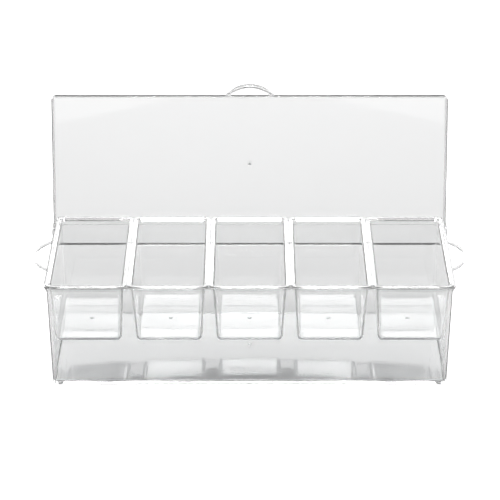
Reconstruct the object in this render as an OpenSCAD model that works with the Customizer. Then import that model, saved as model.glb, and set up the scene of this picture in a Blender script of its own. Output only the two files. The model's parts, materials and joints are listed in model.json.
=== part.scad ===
// Chilled condiment caddy: a clear ice box, five lift-out containers and one hinged lid.
// Millimetres, +Z up, +X along the box, front towards -Y.
// The origin is the centre of the underside of the ice box.

/* [Containers] */
// Distance from the middle of one container to the next
container_pitch = 79.25; // [64:0.05:100]
// Gap between the lips of two neighbours
lip_gap = 0.5; // [0.4:0.05:1]
// Length of a container's lip from front to back
lip_length = 150; // [124:1:190]
// Thickness of a container's lip
lip_thick = 2.2; // [1.5:0.1:3]
// Corner radius of the lip
lip_corner = 4; // [3:0.5:6]
// Overhang of the lip on each side of the container's body
lip_side = 3.4; // [2.8:0.1:6]
// Overhang of the lip in front of and behind the container's body
lip_end = 4.7; // [4:0.1:6]
// Height of a container from its underside to the top of its lip
container_height = 68.5; // [45:0.5:85]
// Wall thickness of a container
container_wall = 1.8; // [1.4:0.1:2.2]
// Radius of the upright corners of a container
container_corner = 5; // [4.5:0.5:8]
// Radius of the bottom edge of a container
container_round = 7; // [5:0.5:7]
// How far a container's side walls lean in between lip and underside
side_lean = 3.5; // [1:0.1:6]
// How far a container's front wall leans in between lip and underside
front_lean = 6; // [2:0.5:12]
// How far a container's back wall leans in between lip and underside
back_lean = 39.8; // [20:0.1:60]
// Width of the sloped edge inside the lip
flare = 3; // [1.5:0.1:3.2]

/* [Ice box] */
// Height from the table to the top of the rim flange
box_height = 110.5; // [92:0.5:140]
// Wall thickness of the box
box_wall = 2.4; // [1.8:0.1:3]
// Floor thickness of the box
floor_thick = 3; // [2:0.1:5]
// How far the front and back walls lean in between rim and base
box_draft = 1.25; // [0.5:0.05:3]
// How far the end walls lean in between rim and base
end_draft = 1.8; // [0.5:0.05:3]
// Radius of the upright corners of the box
box_corner = 6; // [5:0.5:12]
// Width of the broken edge round the bottom of the box
base_edge = 1.2; // [0.5:0.1:2]
// Width of the fillet between floor and walls inside
floor_edge = 1; // [0.5:0.1:2]
// How far the flat foot stands below the bottom edge
foot_height = 0.4; // [0.2:0.1:1]
// How far the rim flange stands out from the front and back walls
flange_out = 3.2; // [2.6:0.1:6]
// How far the rim flange stands out from the end walls
flange_end = 2.3; // [1.8:0.1:5]
// Thickness of the rim flange
flange_thick = 2.2; // [1.5:0.1:4]
// Height of the thickened band below the flange
band_height = 3.4; // [2:0.1:6]
// How far the band stands out from the walls
band_out = 0.9; // [0.4:0.1:1.5]

/* [Carrying handles] */
// How far a carrying handle reaches out from the flange
handle_reach = 17.7; // [14:0.1:26]
// Outer radius of a carrying handle
handle_radius = 37.6; // [30:0.2:44]
// Width of a carrying handle's band, seen from above
handle_band = 4; // [3:0.1:5]
// Height of a carrying handle's band
handle_height = 3.2; // [2:0.1:3.4]

/* [Lid] */
// Thickness of the lid plate
plate_thick = 2.3; // [1.8:0.1:4]
// Thickness of the lid's turned-down edge
skirt_thick = 1.8; // [1.4:0.1:3]
// Gap between the turned-down edge and the rim flange
skirt_gap = 0.5; // [0.4:0.1:1.5]
// How far the turned-down edge overlaps the height of the flange
skirt_overlap = 1.1; // [0.5:0.1:1.8]
// Corner radius of the lid's two front corners
lid_corner = 4; // [3.5:0.5:8]
// How far the closed lid reaches past the flange at the back
lid_past = 1.4; // [1:0.1:4]
// How far the lid's handle reaches out
pull_reach = 11.2; // [10:0.1:18]
// Outer radius of the lid's handle
pull_radius = 34.7; // [26:0.1:40]
// Thickness of the lid's handle
pull_band = 3.3; // [2.4:0.1:4]

/* [Hinge] */
// Distance from the back wall forward to the hinge line
pivot_in = 12.7; // [11:0.1:15]
// Distance from the top of the flange down to the hinge line
pivot_down = 7.85; // [7.7:0.05:10]
// Radius of the hinge pins
pin_radius = 3; // [2:0.1:3.6]
// Running clearance of a pin in the lid's ear
pin_clear = 0.08; // [0.05:0.01:0.1]
// How far a pin stands out of the ear
pin_proud = 0.7; // [0.5:0.1:2]
// Radius of the round pad behind each pin
pad_radius = 5.5; // [4.5:0.1:6]
// Radius of the lid's ears
ear_radius = 8; // [7:0.5:9]

/* [Hidden] */
container_count = 5;

// gap between a container and the rim it hangs on, and between its body and the walls
seat_gap = 0.3;
body_gap = 0.4;
// gap between the turning lid and the back corners of flange and lips
sweep_gap = 0.55;
// gap between the open lid and the back wall, and between pin pad and ear
stop_gap = 0.4;
// rounding on the end of a pin
pin_edge = 0.4;
// extra length of a cutting tool past the surface it cuts
past = 1;
// height of the slabs that the lofted shells start from
slab = 0.2;
// segments of true arcs, and of corners inside a hull
fine = 96;
coarse = 32;

// containers
lip_width = container_pitch - lip_gap;
body_half_x = lip_width / 2 - lip_side;
body_half_y = lip_length / 2 - lip_end;
lip_base = box_height + seat_gap;
lip_top = lip_base + lip_thick;
underside = lip_top - container_height;

// ice box, drawn round the row of containers
row_half_x = (container_count - 1) / 2 * container_pitch + body_half_x;
box_half_x = row_half_x + body_gap + box_wall;
box_half_y = body_half_y + body_gap + box_wall;
flange_half_x = box_half_x + flange_end;
flange_half_y = box_half_y + flange_out;
flange_base = box_height - flange_thick;
band_base = flange_base - band_height;
band_half_x = box_half_x + band_out;

// hinge line, and the closed lid just high enough to swing past flange and lips
pivot_y = box_half_y - pivot_in;
pivot_z = box_height - pivot_down;
flange_swing = norm([flange_half_y - pivot_y, pivot_down]);
lip_swing = norm([lip_length / 2 - pivot_y, lip_top - pivot_z]);
plate_base = pivot_z + max(flange_swing, lip_swing) + sweep_gap;
plate_top = plate_base + plate_thick;
skirt_base = box_height - skirt_overlap;
skirt_inner_x = flange_half_x + skirt_gap;
skirt_outer_x = skirt_inner_x + skirt_thick;
skirt_outer_y = flange_half_y + skirt_gap + skirt_thick;
lid_back = flange_half_y + lid_past;
pad_face = skirt_inner_x - stop_gap;

// the lid stands open where the lower back edge of its plate meets the back wall
edge_back = lid_back - pivot_y;
edge_up = plate_base - pivot_z;
lid_open = atan2(edge_up, edge_back)
         + acos((pivot_in + stop_gap) / norm([edge_back, edge_up]));

// 2-D rectangle given by its half sizes, with true arcs at its corners
module rounded(half_x, half_y, radius) {
    square([2 * (half_x - radius), 2 * half_y], center = true);
    square([2 * half_x, 2 * (half_y - radius)], center = true);
    for (x = [-1, 1], y = [-1, 1])
        translate([x * (half_x - radius), y * (half_y - radius)])
            circle(radius, $fn = fine);
}

// Upright rounded block between two heights
module block(half_x, half_y, radius, low, high) {
    translate([0, 0, low])
        linear_extrude(high - low)
            rounded(half_x, half_y, radius);
}

// Four thin discs at the corners of a rounded rectangle, for a hull
module corner_discs(half_x, half_y, radius, z) {
    for (x = [-1, 1], y = [-1, 1])
        translate([x * (half_x - radius), y * (half_y - radius), z])
            cylinder(h = slab, r = radius, $fn = coarse);
}

// The box without its rim, made smaller by inset, from its floor at low up to top
module box_body(inset, edge, low, top) {
    low_x = box_half_x - end_draft - inset;
    low_y = box_half_y - box_draft - inset;
    corner = box_corner - inset;
    hull() {
        corner_discs(box_half_x - inset, box_half_y - inset, corner, top - slab);
        corner_discs(low_x, low_y, corner, low + edge);
        corner_discs(low_x - edge, low_y - edge, corner - edge, low);
    }
}

// Round pad on an end wall that carries a hinge pin
module pin_pad(side) {
    from = box_half_x - box_wall / 2;
    translate([side * from, pivot_y, pivot_z])
        rotate([0, side * 90, 0])
            cylinder(h = pad_face - from, r = pad_radius, $fn = fine);
}

module ice_box() {
    foot_inset = 1.5 * base_edge;
    color("aliceblue", 0.5)
        difference() {
            union() {
                box_body(0, base_edge, foot_height, box_height);
                block(box_half_x - end_draft - foot_inset,
                      box_half_y - box_draft - foot_inset, box_corner - foot_inset, 0,
                      foot_height + floor_thick / 2);
                block(band_half_x, box_half_y + band_out, box_corner + band_out,
                      band_base, flange_base);
                block(flange_half_x, flange_half_y, box_corner + flange_out,
                      flange_base, box_height);
                for (side = [-1, 1])
                    pin_pad(side);
            }
            box_body(box_wall, floor_edge, foot_height + floor_thick, box_height + past);
        }
}

// Part of a flat ring that stands out past x = 0 by reach, from z = 0 up
module loop(reach, radius, band, height) {
    translate([reach - radius, 0, 0])
        difference() {
            cylinder(h = height, r = radius, $fn = fine);
            translate([0, 0, -past])
                cylinder(h = height + 2 * past, r = radius - band, $fn = fine);
            translate([-radius - past, -radius - past, -past])
                cube([2 * radius + past - reach, 2 * (radius + past), height + 2 * past]);
        }
}

// A carrying handle stands on the face of the band, with its top against the flange
module carrying_handle(side) {
    color("aliceblue", 0.5)
        translate([side * band_half_x, 0, flange_base - handle_height])
            rotate([0, 0, side > 0 ? 0 : 180])
                loop(handle_reach + flange_end - band_out, handle_radius, handle_band,
                     handle_height);
}

module hinge_pin(side) {
    reach = skirt_outer_x + pin_proud - pad_face;
    color("aliceblue", 0.5)
        translate([side * pad_face, pivot_y, pivot_z])
            rotate([0, side * 90, 0])
                rotate_extrude($fn = fine)
                    polygon([[0, 0], [pin_radius, 0], [pin_radius, reach - pin_edge],
                             [pin_radius - pin_edge, reach], [0, reach]]);
}

// Turns the closed lid about the hinge line to where it stands open
module opened() {
    translate([0, pivot_y, pivot_z])
        rotate([-lid_open, 0, 0])
            translate([0, -pivot_y, -pivot_z])
                children();
}

// Outline of the lid or of its hollow: round corners in front, square ones behind
module lid_outline(half_x, front, back, radius) {
    translate([-half_x, radius - front])
        square([2 * half_x, front + back - radius]);
    translate([radius - half_x, -front])
        square([2 * (half_x - radius), front]);
    for (side = [-1, 1])
        translate([side * (half_x - radius), radius - front])
            circle(radius, $fn = fine);
}

module lid_ear(side) {
    translate([side > 0 ? skirt_inner_x : -skirt_outer_x, pivot_y, pivot_z]) {
        rotate([0, 90, 0])
            cylinder(h = skirt_thick, r = ear_radius, $fn = fine);
        translate([0, -ear_radius, 0])
            cube([skirt_thick, 2 * ear_radius, edge_up]);
    }
}

module lid() {
    color("aliceblue", 0.5)
        opened()
            difference() {
                union() {
                    translate([0, 0, plate_base])
                        linear_extrude(plate_thick)
                            lid_outline(skirt_outer_x, skirt_outer_y, lid_back, lid_corner);
                    translate([0, 0, skirt_base])
                        linear_extrude(plate_base - skirt_base)
                            difference() {
                                lid_outline(skirt_outer_x, skirt_outer_y, lid_back, lid_corner);
                                lid_outline(skirt_inner_x, skirt_outer_y - skirt_thick,
                                            lid_back + past, lid_corner - skirt_thick);
                            }
                    for (side = [-1, 1])
                        lid_ear(side);
                }
                translate([-skirt_outer_x - past, pivot_y, pivot_z])
                    rotate([0, 90, 0])
                        cylinder(h = 2 * (skirt_outer_x + past), r = pin_radius + pin_clear,
                                 $fn = fine);
            }
}

// The lid's handle stands on its front edge and is as deep as that edge
module lid_handle() {
    color("aliceblue", 0.5)
        opened()
            translate([0, -skirt_outer_y, skirt_base])
                rotate([0, 0, -90])
                    loop(pull_reach, pull_radius, pull_band, plate_top - skirt_base);
}

// Where a bottom ball sits so that it touches both the underside and a leaning wall
function ball_inset(lean) =
    lean + container_round * tan((90 - atan(lean / container_height)) / 2);

// The body of a container without its lip, made smaller by inset
module container_body(inset, top) {
    ball_x = body_half_x - ball_inset(side_lean);
    hull() {
        corner_discs(body_half_x - inset, body_half_y - inset, container_corner - inset,
                     top - slab);
        for (x = [-ball_x, ball_x],
             y = [ball_inset(front_lean) - body_half_y, body_half_y - ball_inset(back_lean)])
            translate([x, y, underside + container_round])
                sphere(container_round - inset, $fn = coarse);
    }
}

module container(number) {
    place = (number - (container_count + 1) / 2) * container_pitch;
    edge = flare - container_wall;
    color("white", 0.6)
        translate([place, 0, 0])
            difference() {
                union() {
                    container_body(0, lip_base + slab);
                    block(lip_width / 2, lip_length / 2, lip_corner, lip_base, lip_top);
                }
                container_body(container_wall, lip_top + past);
                hull() {
                    corner_discs(body_half_x + edge, body_half_y + edge,
                                 container_corner + edge, lip_top);
                    corner_discs(body_half_x - container_wall, body_half_y - container_wall,
                                 container_corner - container_wall, lip_top - flare - slab);
                }
            }
}

ice_box();
carrying_handle(-1);  // handle_left
carrying_handle(1);  // handle_right
hinge_pin(-1);  // hinge_pin_left
hinge_pin(1);  // hinge_pin_right
lid();
lid_handle();
container(1);  // container_1
container(2);  // container_2
container(3);  // container_3
container(4);  // container_4
container(5);  // container_5
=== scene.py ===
# Chilled condiment caddy in clear plastic: ice box, five lift-out containers and a hinged lid.
# Blender 4.5, metres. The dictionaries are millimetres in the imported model's frame, unless a note says else.
import json
import bmesh
import bpy
import numpy as np
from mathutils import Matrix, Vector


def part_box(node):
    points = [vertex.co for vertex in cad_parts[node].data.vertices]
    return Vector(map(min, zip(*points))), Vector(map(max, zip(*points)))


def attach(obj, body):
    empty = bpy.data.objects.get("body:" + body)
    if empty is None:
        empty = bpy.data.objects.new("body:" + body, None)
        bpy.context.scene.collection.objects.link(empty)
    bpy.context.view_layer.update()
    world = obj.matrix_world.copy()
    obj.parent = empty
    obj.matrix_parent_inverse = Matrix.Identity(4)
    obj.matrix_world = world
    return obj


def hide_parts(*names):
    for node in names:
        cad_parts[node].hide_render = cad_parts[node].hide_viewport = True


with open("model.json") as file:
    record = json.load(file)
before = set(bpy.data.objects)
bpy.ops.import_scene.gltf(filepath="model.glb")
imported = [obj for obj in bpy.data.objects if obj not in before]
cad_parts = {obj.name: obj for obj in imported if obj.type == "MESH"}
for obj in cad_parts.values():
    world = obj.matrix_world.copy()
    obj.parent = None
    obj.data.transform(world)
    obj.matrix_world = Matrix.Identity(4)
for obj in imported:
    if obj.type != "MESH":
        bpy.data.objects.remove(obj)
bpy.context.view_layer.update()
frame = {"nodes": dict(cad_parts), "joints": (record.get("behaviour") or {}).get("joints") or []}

mm = 0.001


def corners(node):
    # a node's lowest and highest corner in millimetres
    low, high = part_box(node)
    return np.array(low) / mm, np.array(high) / mm


def arc(across, up, radius, start, end, steps):
    # part of a circle in a profile: centre plus radius times (cos, sin) of an evenly turned angle
    turn = np.radians(np.linspace(start, end, steps + 1))
    return np.stack([across + radius * np.cos(turn), up + radius * np.sin(turn)], 1)


def line(start, end, steps=1):
    # straight stretch of a profile: start times (1 - share) plus end times share, both ends included
    share = np.linspace(0, 1, steps + 1)[:, None]
    return np.array(start, float) * (1 - share) + np.array(end, float) * share


def roundedRings(halfX, front, back, radius, up, steps):
    # each row is a rounded rectangle seen from above: four quarter circles joined by straight runs,
    # with steps for a corner, for a run along x and for a run along y
    cornerSteps, stepsX, stepsY = steps
    halfX, front, back, radius, up = [
        row[:, None] for row in np.broadcast_arrays(*map(np.atleast_1d, (halfX, front, back, radius, up)))]
    runs = []
    for quarter, (signX, edge) in enumerate([(1, back), (-1, back), (-1, front), (1, front)]):
        turn = np.linspace(0, np.pi / 2, cornerSteps + 1) + quarter * np.pi / 2
        inward = radius * (1 if quarter > 1 else -1)
        runs.append(np.stack([signX * (halfX - radius) + radius * np.cos(turn),
                              edge + inward + radius * np.sin(turn)], -1))
    joined = []
    for quarter, here in enumerate(runs):
        after = runs[(quarter + 1) % len(runs)]
        count = stepsX if quarter % 2 == 0 else stepsY
        share = (np.arange(1, count + 1) / (count + 1))[None, :, None]
        joined += [here, here[:, -1:] * (1 - share) + after[:, :1] * share]
    flat = np.concatenate(joined, 1)
    return np.concatenate([flat, np.broadcast_to(up, flat.shape[:2])[..., None]], -1)


def shrunkRings(ring, shares, centre):
    # copies of one ring drawn in to a centre point: centre plus share times (point minus centre),
    # for shares given as (first, last, how many)
    return centre + np.linspace(*shares)[:, None, None] * (ring[None] - centre)


def gridFaces(rows, columns, closed):
    # one quad for each cell of the grid: (i, j), (i, j + 1), (i + 1, j + 1), (i + 1, j)
    across = columns if closed else columns - 1
    i, j = [k.ravel() for k in np.meshgrid(np.arange(rows - 1), np.arange(across), indexing="ij")]
    after = (j + 1) % columns
    return np.stack([i * columns + j, i * columns + after,
                     (i + 1) * columns + after, (i + 1) * columns + j], 1)


def meshPiece(name, points, faces, body, slotName, material, nodes=()):
    # a named object at the origin from points in millimetres, smooth, riding its body
    mesh = bpy.data.meshes.new(name)
    mesh.from_pydata((np.asarray(points) * mm).tolist(), [], faces)
    mesh.validate()
    mesh.polygons.foreach_set("use_smooth", np.ones(len(mesh.polygons), bool))
    piece = bpy.data.objects.new(name, mesh)
    bpy.context.collection.objects.link(piece)
    mesh.materials.append(material)
    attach(piece, body)
    if nodes:
        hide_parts(*nodes)
    return piece


def faceOutward(mesh, joinWithin=0.001):
    # joins the points that its parts share, and turns every face of one closed skin outwards
    skin = bmesh.new()
    skin.from_mesh(mesh)
    bmesh.ops.remove_doubles(skin, verts=skin.verts, dist=joinWithin * mm)
    bmesh.ops.recalc_face_normals(skin, faces=skin.faces)
    skin.to_mesh(mesh)
    skin.free()


def closedShell(name, rings, low, high, **where):
    # a grid of closed rings, with a fan of triangles to the point low before the first ring
    # and a fan to the point high after the last
    rows, columns = rings.shape[:2]
    points = np.concatenate([rings.reshape(-1, 3), [low, high]])
    faces = gridFaces(rows, columns, True).tolist()
    around = np.arange(columns)
    after = (around + 1) % columns
    pole = rows * columns
    last = (rows - 1) * columns
    faces += np.stack([np.full(columns, pole), after, around], 1).tolist()
    faces += np.stack([np.full(columns, pole + 1), last + around, last + after], 1).tolist()
    return meshPiece(name, points, faces, **where)


def flatNormals(piece, faceWeight=80):
    # normals weighted by face area, so flat walls stay flat beside their rounded edges
    weighted = piece.modifiers.new("flatNormals", "WEIGHTED_NORMAL")
    weighted.keep_sharp = True
    weighted.weight = faceWeight


plastics = {
    "tint": (0.985, 0.987, 0.987, 1),
    "shade": (0.84, 0.843, 0.845, 1),  # what one face leaves of the light in a shadow
    "refraction": 1.54,
    "roughness": (0.015, 0.05),  # between clean and scuffed spots
    "scuffScale": 55,
    "scuffDetail": 6,
    "scuffRoughness": 0.65,
    "scuffRange": (0.35, 0.75),  # the stretch of the noise that becomes roughness
    "waveScale": 9,
    "waveDetail": 1,
    "waveHeight": 0.00005,  # metres
    "shift": (1, 0.7, 0.3),  # how a piece's seed moves its pattern along x, y and z
}


def clearPlastic(name, seed):
    # clear moulded plastic: roughness is noise mapped from its range to (clean, scuffed), bump is a slow
    # noise times the wave height, and shadow rays pass straight through with the shade's colour
    material = bpy.data.materials.new(name)
    material.use_nodes = True
    nodes, links = material.node_tree.nodes, material.node_tree.links
    nodes.clear()
    output = nodes.new("ShaderNodeOutputMaterial")
    mix = nodes.new("ShaderNodeMixShader")
    path = nodes.new("ShaderNodeLightPath")
    through = nodes.new("ShaderNodeBsdfTransparent")
    glass = nodes.new("ShaderNodeBsdfPrincipled")
    place = nodes.new("ShaderNodeTexCoord")
    move = nodes.new("ShaderNodeMapping")
    scuffs = nodes.new("ShaderNodeTexNoise")
    gloss = nodes.new("ShaderNodeMapRange")
    waves = nodes.new("ShaderNodeTexNoise")
    bump = nodes.new("ShaderNodeBump")
    glass.inputs["Base Color"].default_value = plastics["tint"]
    glass.inputs["Transmission Weight"].default_value = 1
    glass.inputs["IOR"].default_value = plastics["refraction"]
    through.inputs["Color"].default_value = plastics["shade"]
    move.inputs["Location"].default_value = [seed * part for part in plastics["shift"]]
    scuffs.inputs["Scale"].default_value = plastics["scuffScale"]
    scuffs.inputs["Detail"].default_value = plastics["scuffDetail"]
    scuffs.inputs["Roughness"].default_value = plastics["scuffRoughness"]
    gloss.inputs["From Min"].default_value = plastics["scuffRange"][0]
    gloss.inputs["From Max"].default_value = plastics["scuffRange"][1]
    gloss.inputs["To Min"].default_value = plastics["roughness"][0]
    gloss.inputs["To Max"].default_value = plastics["roughness"][1]
    waves.inputs["Scale"].default_value = plastics["waveScale"]
    waves.inputs["Detail"].default_value = plastics["waveDetail"]
    bump.inputs["Distance"].default_value = plastics["waveHeight"]
    bump.inputs["Strength"].default_value = 1
    links.new(place.outputs["Object"], move.inputs["Vector"])
    links.new(move.outputs["Vector"], scuffs.inputs["Vector"])
    links.new(move.outputs["Vector"], waves.inputs["Vector"])
    links.new(scuffs.outputs["Fac"], gloss.inputs["Value"])
    links.new(gloss.outputs["Result"], glass.inputs["Roughness"])
    links.new(waves.outputs["Fac"], bump.inputs["Height"])
    links.new(bump.outputs["Normal"], glass.inputs["Normal"])
    links.new(path.outputs["Is Shadow Ray"], mix.inputs[0])
    links.new(glass.outputs[0], mix.inputs[1])
    links.new(through.outputs[0], mix.inputs[2])
    links.new(mix.outputs[0], output.inputs["Surface"])
    return material


boxPlastic = clearPlastic("boxPlastic", 0.0)
containerPlastic = clearPlastic("containerPlastic", 3.1)
lidPlastic = clearPlastic("lidPlastic", 7.7)

# the lid's hinge line, and how far the lid stands open at rest
hinge = next(joint for joint in frame["joints"] if joint["name"] == "lid_hinge")
pivot = np.array(hinge["pos_m"]) / mm
openAngle = -np.radians(hinge["range_deg"][0])

boxHigh = corners("ice_box")[1]
iceBox = {
    "wall": 2.4, "draft": 1.25, "endDraft": 1.8,  # thickness, and how far front and ends draw in at the base
    "wallStart": 14, "wallCount": 14,  # the height where the wall's straight rows start, and their number
    "corner": 6, "tightest": 0.8,  # the plan's corner radius, and the least that it shrinks to inside
    "floor": 3.4, "inside": 1.3, "bow": 3.8,  # thickness, the round at its edge, its rise to the middle
    "foot": 0.4, "footIn": 1.8, "footWide": 1,  # height, how far it is set in, width
    "footEdge": 0.3, "bottomEdge": 0.4,
    "flangeOut": 3.2, "flangeEnd": 2.3, "flangeThick": 2.2,  # the flange stands out less at the ends
    "bandOut": 0.9, "bandHigh": 3.4, "bandSlope": 0.02,  # the thicker band under the flange
    "edge": 0.5, "topEdge": 0.6,  # rounds
    "flatOut": 1.4, "flatIn": 0.8,  # where the flat top starts and ends, in from its two edges
    "clear": 1, "notch": 0.15, "rimDeep": 3,  # how far the rows beside an edge keep from it
    "padProud": 0.1,
    "steps": (10, 44, 18), "underRings": (0.04, 0.98, 24), "floorRings": (0.99, 0.04, 24),
}
flangeHalfX = boxHigh[0] - iceBox["padProud"]


def makeIceBox():
    # a profile of (distance in from the wall's outer face at the rim, height), carried round the plan;
    # the walls draw in by the draft times (1 - height / top)
    size = iceBox
    top, halfX, halfY = boxHigh[2], flangeHalfX - size["flangeEnd"], boxHigh[1] - size["flangeOut"]
    flangeBase = top - size["flangeThick"]
    bandBase = flangeBase - size["bandHigh"]
    edge, topEdge, low, inner = size["edge"], size["topEdge"], size["bottomEdge"], size["inside"]
    wall, wallStart, wallCount = size["wall"], size["wallStart"], size["wallCount"]
    flangeOut, bandOut, clear, notch = size["flangeOut"], size["bandOut"], size["clear"], size["notch"]
    footIn, footEdge = size["footIn"], size["footEdge"]
    profile = np.concatenate([
        line((footIn + size["footWide"], 0), (footIn + footEdge, 0)),
        line((footIn, footEdge), (footIn, size["foot"])),
        arc(low, size["foot"] + low, low, 270, 180, 5),
        line((0, wallStart), (0, bandBase - clear), wallCount),
        line((0, bandBase), (edge - bandOut, bandBase + size["bandSlope"])),
        arc(edge - bandOut, bandBase + edge, edge, 270, 180, 3),
        line((-bandOut, bandBase + clear), (-bandOut, flangeBase - notch)),
        line((-bandOut - notch, flangeBase), (edge - flangeOut, flangeBase)),
        arc(edge - flangeOut, flangeBase + edge, edge, 270, 180, 4),
        arc(topEdge - flangeOut, top - topEdge, topEdge, 180, 90, 5),
        line((size["flatOut"] - flangeOut, top), (wall - size["flatIn"], top), 2),
        arc(wall - topEdge, top - topEdge, topEdge, 90, 0, 4),
        line((wall, top - size["rimDeep"]), (wall, wallStart), wallCount),
        arc(wall + inner, size["floor"] + inner, inner, 180, 270, 6),
    ])
    offset, up = profile[:, 0], profile[:, 1]
    fall = 1 - up / top
    spread = size["flangeEnd"] / flangeOut * (offset + bandOut) - bandOut
    offsetX = np.where(offset < -bandOut, spread, offset) + size["endDraft"] * fall
    offsetY = offset + size["draft"] * fall
    radius = np.clip(size["corner"] - offset, size["tightest"], None)
    rings = roundedRings(halfX - offsetX, offsetY - halfY, halfY - offsetY, radius, up, size["steps"])

    def domed(grid):
        # raised by bow times (1 - (x / half length)^2) times (1 - (y / half depth)^2), from 0 at the edge
        spanX = np.clip(1 - (grid[..., 0] / halfX) ** 2, 0, 1)
        spanY = np.clip(1 - (grid[..., 1] / halfY) ** 2, 0, 1)
        span = spanX * spanY
        grid[..., 2] += size["bow"] * (span - span.min())
        return grid

    under = domed(shrunkRings(rings[0], size["underRings"], np.array([0, 0, up[0]])))
    floor = domed(shrunkRings(rings[-1], size["floorRings"], np.array([0, 0, up[-1]])))
    return closedShell("iceBoxShell", np.concatenate([under, rings, floor]),
                       [0, 0, under[0, :, 2].mean()], [0, 0, floor[-1, :, 2].mean()],
                       body="root", slotName="clear_plastic", material=boxPlastic, nodes=["ice_box"])


pad = {"radius": 5.5, "core": 1.0, "edge": 0.5, "clear": 0.5, "steps": 48}


def makePad(side):
    # a round pad turned about the hinge line: each point of the profile is (distance along, radius)
    start, end = flangeHalfX - iceBox["flangeEnd"] - iceBox["wall"] / 2, boxHigh[0]
    radius, edge = pad["radius"], pad["edge"]
    profile = np.concatenate([
        [(start, pad["core"]), (start, radius)],
        line((start + pad["clear"], radius), (end - edge, radius), 3),
        arc(end - edge, radius - edge, edge, 90, 0, 4)[1:], [(end, pad["core"])]])
    turn = np.linspace(0, 2 * np.pi, pad["steps"], endpoint=False)
    along = np.broadcast_to(profile[:, :1], (len(profile), len(turn)))
    rings = np.stack([side * along, pivot[1] + side * profile[:, 1:] * np.cos(turn),
                      pivot[2] + profile[:, 1:] * np.sin(turn)], -1)
    return closedShell(f"pinPad{'Left' if side < 0 else 'Right'}", rings,
                       [side * start, pivot[1], pivot[2]], [side * end, pivot[1], pivot[2]],
                       body="root", slotName="clear_plastic", material=boxPlastic)


container = {
    "lipThick": 2.2, "lipSide": 3.4, "lipEnd": 4.7, "lipCorner": 4, "lipUnder": 0.3,
    "wall": 1.8, "wallCount": 14, "corner": 5, "tightest": 0.8,
    "round": 7, "roundSteps": 9,  # where the walls turn into the floor
    "sideLean": 3.5, "frontLean": 6.0, "backLean": 39.8,  # how far each wall has drawn in at the bottom
    "edge": 0.5, "topEdge": 0.5, "topGap": 0.3, "flat": 2.6,  # the lip's rounds, and where its flat top ends
    "clear": 3, "underGap": 0.6, "flareGap": 2,  # how far the wall's rows keep from the round, lip and flare
    # the flare from the flat lip to the inner wall: the share of the way in, and of its depth down
    "flareDeep": 2.8,
    "flareIn": (0.06, 0.2, 0.5, 0.8, 0.94, 1),
    "flareDown": (0.02, 0.12, 0.45, 0.78, 1, 1.25),
    "steps": (8, 12, 24), "underRings": (0.1, 0.9, 6), "floorRings": (0.95, 0.1, 8),
    "gateY": -15.5,
}


def makeContainer(number):
    # a profile from the underside over the lip and down inside, where front, back and sides each lean
    # by their own amount times (1 - height / full height)
    size = container
    low, high = corners(f"container_{number}")
    middle = (low[0] + high[0]) / 2
    lipHalfX, lipHalfY = (high[0] - low[0]) / 2, high[1]
    bodyHalfX, bodyHalfY = lipHalfX - size["lipSide"], lipHalfY - size["lipEnd"]
    tall = high[2] - low[2]
    wall, big, flatIn = size["wall"], size["round"], size["flat"]
    edge, topEdge = size["edge"], size["topEdge"]
    lipBase = tall - size["lipThick"]

    def wallRows(up, inset, bottom, radius):
        # drawn in near the bottom by the round edge: radius - sqrt(radius^2 - (radius - height)^2)
        fall = 1 - up / tall
        gap = np.clip(radius - (up - bottom), 0, radius)
        pull = inset + radius - np.sqrt(radius ** 2 - gap ** 2)
        return (bodyHalfX - size["sideLean"] * fall - pull, size["frontLean"] * fall - bodyHalfY + pull,
                bodyHalfY - size["backLean"] * fall - pull,
                np.clip(size["corner"] - pull, size["tightest"], None), up)

    def lipRows(inX, inY, up):
        # distances in from the lip's own edge, at the sides and at front and back; the corner radius
        # goes from the lip's to the body's as the share of the way in
        share = np.clip(1 - inY / size["lipEnd"], 0, 1)
        return (lipHalfX - inX, inY - lipHalfY, lipHalfY - inY,
                size["corner"] + (size["lipCorner"] - size["corner"]) * share, up)

    turn = np.radians(np.linspace(0, 90, size["roundSteps"]))
    innerBig = big - wall
    clear, wallCount = size["clear"], size["wallCount"]
    flareEnd = tall - size["flareDeep"] - size["flareGap"]
    outerUp = np.concatenate([
        big * (1 - np.cos(turn)), np.linspace(big + clear, lipBase - size["underGap"], wallCount)])
    innerUp = np.concatenate([
        np.linspace(flareEnd, wall + innerBig + clear, wallCount),
        wall + innerBig * (1 - np.cos(turn[::-1]))])
    rim = np.concatenate([
        arc(edge, lipBase + edge, edge, 270, 180, 3), arc(topEdge, tall - topEdge, topEdge, 180, 90, 4),
        line((topEdge + size["topGap"], tall), (flatIn, tall), 2)])
    share, drop = np.array(size["flareIn"]), np.array(size["flareDown"]) * size["flareDeep"]
    flat = np.full(len(share), flatIn)
    flare = [(1 - share) * lip + share * inside for lip, inside in zip(
        lipRows(flat, flat, tall - drop), wallRows(tall - drop, wall, wall, innerBig))]
    beneath = [np.array([size["lipSide"] - size["lipUnder"]]), np.array([size["lipEnd"] - size["lipUnder"]])]
    parts = [wallRows(outerUp, 0, 0, big), lipRows(*beneath, np.array([lipBase])),
             lipRows(rim[:, 0], rim[:, 0], rim[:, 1]), flare, wallRows(innerUp, wall, wall, innerBig)]
    halfX, front, back, radius, up = [np.concatenate(rows) for rows in zip(*parts)]
    rings = roundedRings(halfX, front, back, radius, up + low[2], size["steps"]) + [middle, 0, 0]
    ends = [np.array([middle, (front[k] + back[k]) / 2, up[k] + low[2]]) for k in (0, -1)]
    under = shrunkRings(rings[0], size["underRings"], ends[0])
    floor = shrunkRings(rings[-1], size["floorRings"], ends[1])
    return closedShell(f"container{number}Shell", np.concatenate([under, rings, floor]), *ends,
                       body=f"container_{number}", slotName="clear_containers",
                       material=containerPlastic, nodes=[f"container_{number}"])


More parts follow.
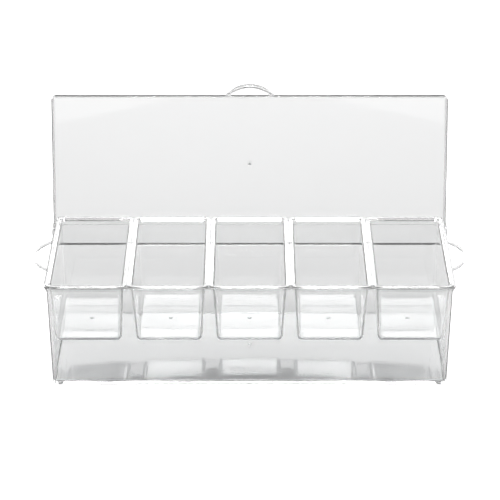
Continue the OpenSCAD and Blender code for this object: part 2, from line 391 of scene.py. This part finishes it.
# the lid is worked out closed, then turned back about its hinge
lid = {
    "halfX": corners("lid")[1][0], "front": 78.6, "back": 77.7, "underside": 121.1, "plate": 2.3,
    "skirt": 1.8, "skirtBase": 109.4, "corner": 4, "tightest": 0.4,
    "sideWide": 3,  # points this near to the end of the lid belong to its side
    "ear": 8, "bore": 3.08, "boreSteps": 64, "boreEdge": 0.3, "boreAngle": 50,
    "edge": 1.2, "fillet": 1.4, "crown": 0.5,
    "lowRound": 0.5, "lowBend": (0.15, 0.12),  # the turned edge's lower round, and its middle row (in, up)
    "rear": 0.3, "rearSlope": 2.3,  # how far the inner and the outer face stop short of the back
    "noseRound": 0.15, "noseRows": 0.1,  # shares of the sloped back edge
    "earGap": 0.02, "backGap": 4,  # how far the points beside the ear and the back end keep from them
    # points along each side before the ear, round it and behind it, in a corner, and along the front
    "sideCount": 26, "earCount": 17, "behindCount": 3, "cornerCount": 7, "frontCount": 61,
    "gateY": -8,
}


def opened(points):
    # turns points of the closed lid back about the hinge line by the opening angle
    y, z = points[..., 1] - pivot[1], points[..., 2] - pivot[2]
    turned = points.copy()
    turned[..., 1] = pivot[1] + y * np.cos(openAngle) + z * np.sin(openAngle)
    turned[..., 2] = pivot[2] - y * np.sin(openAngle) + z * np.cos(openAngle)
    return turned


def lidPath(offset, short):
    # the lid's outline drawn in by offset and cut short at the back: left side, front, right side
    halfX, front = lid["halfX"] - offset, lid["front"] - offset
    radius = max(lid["corner"] - offset, lid["tightest"])
    ear, gap = lid["ear"], lid["earGap"]
    sideY = np.concatenate([
        np.linspace(radius - front, pivot[1] - ear - gap, lid["sideCount"]),
        pivot[1] + ear * np.sin(np.radians(np.linspace(-90, 90, lid["earCount"]))),
        [pivot[1] + ear + gap, lid["back"] - lid["backGap"], lid["back"] - short]])
    turn = np.radians(np.linspace(180, 270, lid["cornerCount"] + 2))[1:-1]
    left = np.stack([np.full(len(sideY), -halfX), sideY[::-1]], 1)
    cornerLeft = np.stack([radius - halfX + radius * np.cos(turn),
                           radius - front + radius * np.sin(turn)], 1)
    count = lid["frontCount"]
    frontRun = np.stack([np.linspace(radius - halfX, halfX - radius, count), np.full(count, -front)], 1)
    mirror = [-1, 1]
    return np.concatenate([left, cornerLeft, frontRun, cornerLeft[::-1] * mirror, left[::-1] * mirror])


def lidDrop(path):
    # the turned edge's lower end: level, with a half circle about the pivot where the ear hangs down,
    # pivot height - sqrt(ear^2 - distance^2)
    away = np.abs(path[:, 1] - pivot[1])
    onSide = np.abs(path[:, 0]) > lid["halfX"] - lid["sideWide"]
    earLine = pivot[2] - np.sqrt(np.clip(lid["ear"] ** 2 - away ** 2, 0, None))
    return np.where(onSide & (away <= lid["ear"]), earLine, lid["skirtBase"])


def drill(piece):
    # cuts the pin bores through both ears with one long cylinder about the hinge line
    steps, reach = lid["boreSteps"], lid["halfX"] + 1
    turn = np.linspace(0, 2 * np.pi, steps, endpoint=False)
    circle = np.stack([np.zeros(steps), pivot[1] + lid["bore"] * np.cos(turn),
                       pivot[2] + lid["bore"] * np.sin(turn)], 1)
    points = np.concatenate([circle - [reach, 0, 0], circle + [reach, 0, 0]]) * mm
    sides = gridFaces(2, steps, True)[:, ::-1].tolist()
    around = np.arange(steps)
    mesh = bpy.data.meshes.new("drill")
    mesh.from_pydata(points.tolist(), [], sides + [around.tolist(), (around + steps)[::-1].tolist()])
    faceOutward(mesh)
    cutter = bpy.data.objects.new("drill", mesh)
    bpy.context.collection.objects.link(cutter)
    cut = piece.modifiers.new("bores", "BOOLEAN")
    cut.object = cutter
    cut.solver = "EXACT"
    bpy.context.view_layer.update()
    piece.data = bpy.data.meshes.new_from_object(piece.evaluated_get(bpy.context.evaluated_depsgraph_get()))
    piece.data.name = "lidShell"
    piece.modifiers.remove(cut)
    bpy.data.objects.remove(cutter)
    bpy.data.meshes.remove(mesh)


def lidSheet(rim, up):
    # fills an outline as a Coons patch: side to side plus back to front, less the four corners' own blend;
    # the plate rises to its middle as crown times 4 u (1 - u) times 4 v (1 - v)
    sideCount = lid["sideCount"] + lid["earCount"] + lid["behindCount"]
    bend = sideCount + lid["cornerCount"] // 2  # the middle of a rounded corner
    left, front, right = rim[:bend + 1], rim[bend:-bend], rim[::-1][:bend + 1]
    u = ((front[:, 0] - front[0, 0]) / (front[-1, 0] - front[0, 0]))[None, :, None]
    v = ((left[:, 1] - left[0, 1]) / (left[-1, 1] - left[0, 1]))[:, None, None]
    back = left[0] * (1 - u) + right[0] * u
    blend = back * (1 - v) + (left[-1] * (1 - u) + right[-1] * u) * v
    flat = left[:, None] * (1 - u) + right[:, None] * u + back * (1 - v) + front[None] * v - blend
    rise = up + lid["crown"] * 16 * (u * (1 - u) * v * (1 - v))
    return np.concatenate([flat, rise], -1)


def makeLid():
    # rows run round the outline: over the plate's edge and down the turned edge, outside and inside;
    # a sheet fills each face of the plate and a sloped nose joins the faces at the back
    underside, edge, fillet, skirt = lid["underside"], lid["edge"], lid["fillet"], lid["skirt"]
    slope, rear, lowRound = lid["rearSlope"], lid["rear"], lid["lowRound"]
    bendIn, bendUp = lid["lowBend"]
    top = underside + lid["plate"]

    def wallRow(offset, share, above, upper, short):
        # height is upper + (lower end + above - upper) times share: share 0 is upper, 1 the lower end
        rim = lidPath(offset, short)
        up = upper + (lidDrop(rim) + above - upper) * share
        return np.concatenate([rim, up[:, None]], 1)

    outer = [wallRow(across, 0, 0, up, slope) for across, up in arc(edge, top - edge, edge, 90, 180, 5)]
    inner = [wallRow(across, 0, 0, up, rear)
             for across, up in arc(skirt + fillet, underside - fillet, fillet, 90, 180, 5)]
    for share in (0.25, 0.5, 0.75, 1.0):
        outer.append(wallRow(0, share, lowRound, top - edge, slope))
        inner.append(wallRow(skirt, share, lowRound, underside - fillet, rear))
    outer += [wallRow(bendIn, 1, bendUp, 0, slope), wallRow(lowRound, 1, 0, 0, slope)]
    inner += [wallRow(skirt - bendIn, 1, bendUp, 0, rear), wallRow(skirt - lowRound, 1, 0, 0, rear)]
    outer, inner = np.array(outer), np.array(inner)
    sheets = [lidSheet(rows[0, :, :2], rows[0, 0, 2]) for rows in (outer, inner)]

    # each face's back end runs up the left side, along the plate and down the right side
    outside, inside = [np.concatenate([rows[::-1, 0], sheet[0, 1:-1], rows[:, -1]])
                       for rows, sheet in zip((outer, inner), sheets)]
    # the nose slopes from the outer face down to a small round beside the inner face
    level = (outside - inside) * [1, 0, 1]
    turn = np.radians(np.linspace(0, 90, 4))[:, None, None]
    small = inside + level * lid["noseRound"] * (1 - np.sin(turn)) + np.array([0, rear, 0]) * np.cos(turn)
    near = lid["noseRows"]
    nose = np.concatenate([outside[None], (outside * (1 - near) + small[0] * near)[None],
                           (outside * near + small[0] * (1 - near))[None], small])
    points, faces, count = [], [], 0
    for sheet in (np.concatenate([outer, inner[::-1]]), *sheets, nose):
        faces += (gridFaces(*sheet.shape[:2], False) + count).tolist()
        points.append(sheet.reshape(-1, 3))
        count += len(points[-1])
    across = nose.shape[1]
    tip = count - nose.shape[0] * across + np.arange(len(nose)) * across
    faces += [tip.tolist(), (tip + across - 1).tolist()]
    piece = meshPiece("lidShell", opened(np.concatenate(points)), faces,
                      "lid", "clear_plastic", lidPlastic, ["lid"])
    faceOutward(piece.data)
    drill(piece)
    soften = piece.modifiers.new("boreEdge", "BEVEL")
    soften.width = lid["boreEdge"] * mm
    soften.segments = 2
    soften.limit_method = "ANGLE"
    soften.angle_limit = np.radians(lid["boreAngle"])
    return piece


bandSteps = 40  # along the loop


def loopBand(name, place, radius, band, soft, low, high, reachX, **where):
    # a rounded bar carried round part of a circle: each point of its outline at (radius times cos, radius
    # times sin) of the turn; both ends stop on the flat plane x = reachX
    half = np.arccos(np.clip(reachX / (radius - band / 2), -1, 1))
    turn = np.linspace(-half, half, bandSteps + 1)
    outerX, innerX = radius - soft, radius - band + soft
    outline = np.concatenate([
        arc(outerX, high - soft, soft, 0, 90, 4), arc(innerX, high - soft, soft, 90, 180, 4),
        arc(innerX, low + soft, soft, 180, 270, 4), arc(outerX, low + soft, soft, 270, 360, 4)])
    around = np.arange(len(outline))
    x = outline[:, 0] * np.cos(turn)[:, None]
    y = outline[:, 0] * np.sin(turn)[:, None]
    for end in (0, -1):
        x[end] = reachX
        y[end] = np.sign(turn[end]) * np.sqrt(np.clip(outline[:, 0] ** 2 - reachX ** 2, 0, None))
    grid = place(np.stack([x, y, np.broadcast_to(outline[:, 1], x.shape)], -1))
    faces = gridFaces(len(turn), len(outline), True)[:, ::-1].tolist()
    faces += [around.tolist(), (around + bandSteps * len(outline))[::-1].tolist()]
    return meshPiece(name, grid.reshape(-1, 3), faces, **where)


sideHandle = {"radius": 37.6, "band": 4.0, "soft": 1.5, "sunk": 0.4}  # how far its ends reach into the box


def makeSideHandle(side, node):
    # a loop on the box's end, turned half round for the left side: (side times x, side times y)
    low, high = corners(node)
    reach = np.abs([low[0], high[0]]).max()
    root = np.abs([low[0], high[0]]).min() - sideHandle["sunk"]
    middle = reach - sideHandle["radius"]

    def onSide(local):
        return np.stack([side * (local[..., 0] + middle), side * local[..., 1], local[..., 2]], -1)

    return loopBand(node.replace("_", "") + "Loop", onSide, sideHandle["radius"], sideHandle["band"],
                    sideHandle["soft"], low[2], high[2], root - middle,
                    body="root", slotName="clear_plastic", material=boxPlastic, nodes=[node])


# reach is how far the loop stands out past the lid's front
pull = {"radius": 34.7, "band": 3.3, "soft": 1.5, "reach": 11.2, "sunk": 0.4}


def makePull():
    # a loop on the lid's front edge: the circle's x points forward, then it turns with the lid
    middle = -lid["front"] - pull["reach"] + pull["radius"]

    def onLid(local):
        return opened(np.stack([local[..., 1], middle - local[..., 0], local[..., 2]], -1))

    return loopBand("lidPull", onLid, pull["radius"], pull["band"], pull["soft"], lid["skirtBase"],
                    lid["underside"] + lid["plate"], pull["radius"] - pull["reach"] - pull["sunk"],
                    body="lid", slotName="clear_plastic", material=lidPlastic, nodes=["lid_handle"])


gate = {
    "radius": 2.4, "ring": 0.5, "nub": 0.6, "proud": 0.3, "sunk": 0.35, "steps": 32,
    "ringEdge": 0.12, "nubEdge": 0.2, "slope": 0.3, "dish": 0.05,  # between ring and nub the dish is low
    "shoulder": 0.6, "crest": 1.3, "tip": 1.35,  # heights as shares of proud
}


def makeGateMark(name, place, **where):
    # the spot where the plastic was fed in: a low ring with a nub, as a profile of (radius, height)
    # turned round
    radius, proud, nub = gate["radius"], gate["proud"], gate["nub"]
    ringIn = radius - gate["ring"]
    profile = np.array([
        (radius, -gate["sunk"]), (radius, proud * gate["shoulder"]), (radius - gate["ringEdge"], proud),
        (ringIn, proud), (ringIn - gate["slope"], gate["dish"]), (nub + gate["slope"], gate["dish"]),
        (nub, proud), (nub - gate["nubEdge"], proud * gate["crest"])])
    turn = np.linspace(0, 2 * np.pi, gate["steps"], endpoint=False)
    up = np.broadcast_to(profile[:, 1:], (len(profile), len(turn)))
    rings = np.stack([profile[:, :1] * np.cos(turn), profile[:, :1] * np.sin(turn), up], -1)
    ends = np.array([[0, 0, -gate["sunk"]], [0, 0, proud * gate["tip"]]])
    return closedShell(name, place(rings), *place(ends), **where)


def belowAt(x, y, z):
    # hangs a mark under a level face: (x - its x, y + its y, z - its z), so that it faces down
    return lambda points: np.stack([x - points[..., 0], y + points[..., 1], z - points[..., 2]], -1)


def onLidPlate(points):
    # stands a mark on the middle of the lid's outer face
    return opened(points + [0, lid["gateY"], lid["underside"] + lid["plate"] + lid["crown"]])


print("ice box")
flatNormals(makeIceBox())
makeGateMark("iceBoxGate", belowAt(0, 0, iceBox["foot"] + iceBox["bow"]),
             body="root", slotName="clear_plastic", material=boxPlastic)
for side in (-1, 1):
    flatNormals(makePad(side))
print("containers")
for number in range(1, 6):
    flatNormals(makeContainer(number))
    low, high = corners(f"container_{number}")
    makeGateMark(f"container{number}Gate", belowAt((low[0] + high[0]) / 2, container["gateY"], low[2]),
                 body=f"container_{number}", slotName="clear_containers", material=containerPlastic)
print("lid")
flatNormals(makeLid())
makeGateMark("lidGate", onLidPlate, body="lid", slotName="clear_plastic", material=lidPlastic)
print("handles")
for side, node in ((-1, "handle_left"), (1, "handle_right")):
    flatNormals(makeSideHandle(side, node))
flatNormals(makePull())
for node in ("hinge_pin_left", "hinge_pin_right"):
    frame["nodes"][node].data.materials.clear()
    frame["nodes"][node].data.materials.append(boxPlastic)

studio = {
    "cameraPlace": (0, -1.7901, 1.0526),  # metres, like the floor and the lamps
    "cameraTilt": 62.315,
    "lens": 145.93,
    "sensor": 36,
    "shift": 0.0006,
    "bounces": 64,
    "clearBounces": 32,
    "floorSize": 2.4,
    "floorColour": (0.9, 0.9, 0.9, 1),
    # the floor's own glow, by the kind of ray that meets it
    "floorGlow": {"Is Camera Ray": 0.85, "Is Glossy Ray": 0.02,
                  "Is Transmission Ray": 0.02, "Is Reflection Ray": 0.02},
    "sky": (0.14, 0.1405, 0.141, 1),
    # name: (place, size, power), each aimed at the caddy
    "lamps": {
        "softboxBack": ((0, 1.95, 1.05), (3.0, 0.85), 25),
        "softboxTop": ((0, 0.4, 2.0), (0.5, 0.5), 24),
        "softboxFront": ((0, -2.4, 1.0), (3.0, 1.0), 6),
        "softboxLeft": ((-1.8, 0, 0.35), (1.6, 0.5), 1),
        "softboxRight": ((1.8, 0, 0.35), (1.6, 0.5), 1),
    },
}


def makeFloor():
    # pale paint plus a glow: the greatest of each kind of ray times its share
    half = studio["floorSize"] / 2
    mesh = bpy.data.meshes.new("floor")
    square = [(-half, -half, 0), (half, -half, 0), (half, half, 0), (-half, half, 0)]
    mesh.from_pydata(square, [], [list(range(len(square)))])
    floor = bpy.data.objects.new("floor", mesh)
    bpy.context.collection.objects.link(floor)
    material = bpy.data.materials.new("floorPaint")
    material.use_nodes = True
    nodes, links = material.node_tree.nodes, material.node_tree.links
    nodes.clear()
    output = nodes.new("ShaderNodeOutputMaterial")
    both = nodes.new("ShaderNodeAddShader")
    paint = nodes.new("ShaderNodeBsdfDiffuse")
    glow = nodes.new("ShaderNodeEmission")
    path = nodes.new("ShaderNodeLightPath")
    paint.inputs["Color"].default_value = studio["floorColour"]
    total = None
    for kind, share in studio["floorGlow"].items():
        part = nodes.new("ShaderNodeMath")
        part.operation = "MULTIPLY"
        part.inputs[1].default_value = share
        links.new(path.outputs[kind], part.inputs[0])
        if total:
            greater = nodes.new("ShaderNodeMath")
            greater.operation = "MAXIMUM"
            links.new(total, greater.inputs[0])
            links.new(part.outputs[0], greater.inputs[1])
            total = greater.outputs[0]
        else:
            total = part.outputs[0]
    links.new(total, glow.inputs["Strength"])
    links.new(paint.outputs[0], both.inputs[0])
    links.new(glow.outputs[0], both.inputs[1])
    links.new(both.outputs[0], output.inputs["Surface"])
    mesh.materials.append(material)


def makeSky():
    # a dim even surround, white where the camera looks past the floor
    world = bpy.data.worlds.new("studio")
    bpy.context.scene.world = world
    world.use_nodes = True
    nodes, links = world.node_tree.nodes, world.node_tree.links
    nodes.clear()
    output = nodes.new("ShaderNodeOutputWorld")
    mix = nodes.new("ShaderNodeMixShader")
    dim = nodes.new("ShaderNodeBackground")
    white = nodes.new("ShaderNodeBackground")
    path = nodes.new("ShaderNodeLightPath")
    dim.inputs["Color"].default_value = studio["sky"]
    white.inputs["Color"].default_value = (1, 1, 1, 1)
    links.new(path.outputs["Is Camera Ray"], mix.inputs[0])
    links.new(dim.outputs[0], mix.inputs[1])
    links.new(white.outputs[0], mix.inputs[2])
    links.new(mix.outputs[0], output.inputs["Surface"])


def makeLamp(name, place, size, power):
    # a softbox whose face is turned to the origin
    light = bpy.data.lights.new(name, "AREA")
    light.shape = "RECTANGLE"
    light.size, light.size_y = size
    light.energy = power
    lamp = bpy.data.objects.new(name, light)
    bpy.context.collection.objects.link(lamp)
    lamp.location = place
    toward = -np.array(place, float)
    lamp.rotation_euler = (np.arctan2(np.hypot(toward[0], toward[1]), -toward[2]), 0,
                           np.arctan2(toward[1], toward[0]) - np.pi / 2)
    lamp.visible_camera = False


def makeCamera():
    # a long lens in front of the caddy, tilted down
    lens = bpy.data.cameras.new("camera")
    lens.lens = studio["lens"]
    lens.sensor_width = studio["sensor"]
    lens.shift_x = studio["shift"]
    camera = bpy.data.objects.new("camera", lens)
    bpy.context.collection.objects.link(camera)
    camera.location = studio["cameraPlace"]
    camera.rotation_euler = (np.radians(studio["cameraTilt"]), 0, 0)
    bpy.context.scene.camera = camera


print("studio")
makeFloor()
makeSky()
for name, (place, size, power) in studio["lamps"].items():
    makeLamp(name, place, size, power)
makeCamera()
scene = bpy.context.scene
scene.view_settings.view_transform = "Standard"
scene.cycles.caustics_reflective = False
scene.cycles.caustics_refractive = False
scene.cycles.max_bounces = studio["bounces"]
scene.cycles.transmission_bounces = studio["bounces"]
scene.cycles.glossy_bounces = studio["bounces"]
scene.cycles.transparent_max_bounces = studio["clearBounces"]
